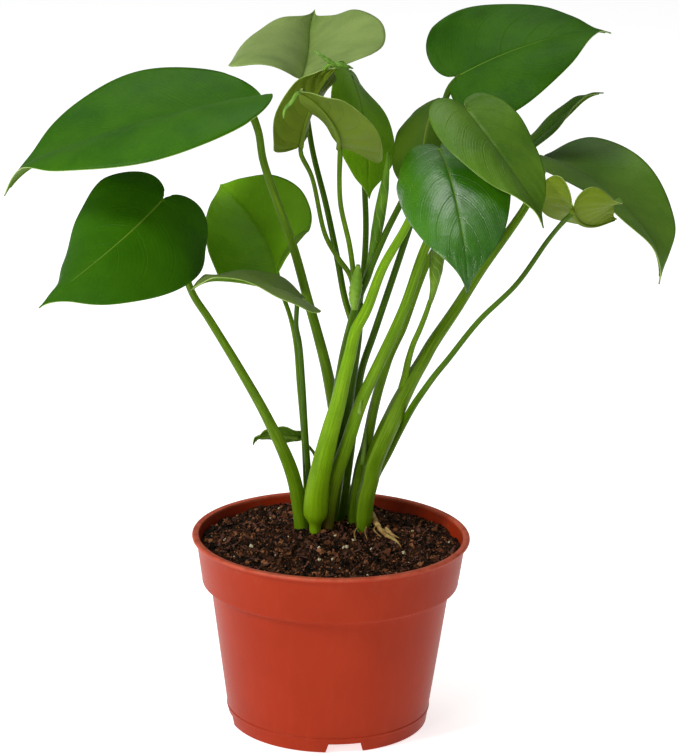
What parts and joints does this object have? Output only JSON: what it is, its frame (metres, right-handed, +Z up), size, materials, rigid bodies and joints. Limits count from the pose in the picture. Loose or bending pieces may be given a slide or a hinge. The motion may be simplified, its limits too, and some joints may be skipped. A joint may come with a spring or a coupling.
{
  "type": "potted monstera plant",
  "caption": "Young monstera with heart-shaped pointed leaves on long stalks, growing in dark potting mix in a round terracotta-coloured plastic nursery pot.",
  "frame": {"origin": "centre of the pot's underside, on the surface that it stands on", "axes": "+Z up; -Y is the front, as the plant is usually seen; +X to the right seen from the front"},
  "size_m": [0.3616, 0.3071, 0.3963],
  "materials": {
    "leaf_blade": "waxy mid-green leaf, glossy on its upper face and paler beneath",
    "petiole": "smooth light green stalk",
    "young_leaf": "pale soft yellow-green",
    "aerial_root": "dry tan root",
    "pot_plastic": "satin terracotta-red injection-moulded plastic",
    "potting_mix": "moist dark brown crumbly mix with pale grains"
  },
  "bodies": {
    "root": {"leaf_far_left": "leaf_blade", "leaf_low_left": "leaf_blade", "leaf_inner_left": "leaf_blade", "leaf_level_left": "leaf_blade", "leaf_top": "leaf_blade", "leaf_folded": "leaf_blade", "leaf_dark_middle": "leaf_blade", "leaf_lifted": "leaf_blade", "leaf_top_right": "leaf_blade", "leaf_shaded_right": "leaf_blade", "leaf_glossy_front": "leaf_blade", "leaf_front_right": "leaf_blade", "leaf_rolled_right": "leaf_blade", "leaf_far_right": "leaf_blade", "leaf_small_right": "leaf_blade", "leaf_narrow_low": "leaf_blade", "petiole_glossy_front": "petiole", "petiole_far_right": "petiole", "petiole_low_left": "petiole", "petiole_front_right": "petiole", "middle_shoot": "petiole", "petiole_far_left": "petiole", "petiole_rolled_right": "petiole", "petiole_top_right": "petiole", "petiole_shaded_right": "petiole", "petiole_inner_left": "petiole", "petiole_level_left": "petiole", "petiole_small_right": "petiole", "petiole_top": "petiole", "petiole_dark_middle": "petiole", "petiole_lifted": "petiole", "petiole_folded": "petiole", "petiole_rolled_young": "petiole", "petiole_narrow_low": "petiole", "spear_leaf": "young_leaf", "rolled_young_leaf": "young_leaf", "leaf_bud": "young_leaf", "aerial_root_long": "aerial_root", "aerial_root_short": "aerial_root", "nursery_pot": "pot_plastic", "potting_mix": "potting_mix"}
  },
  "joints": []
}
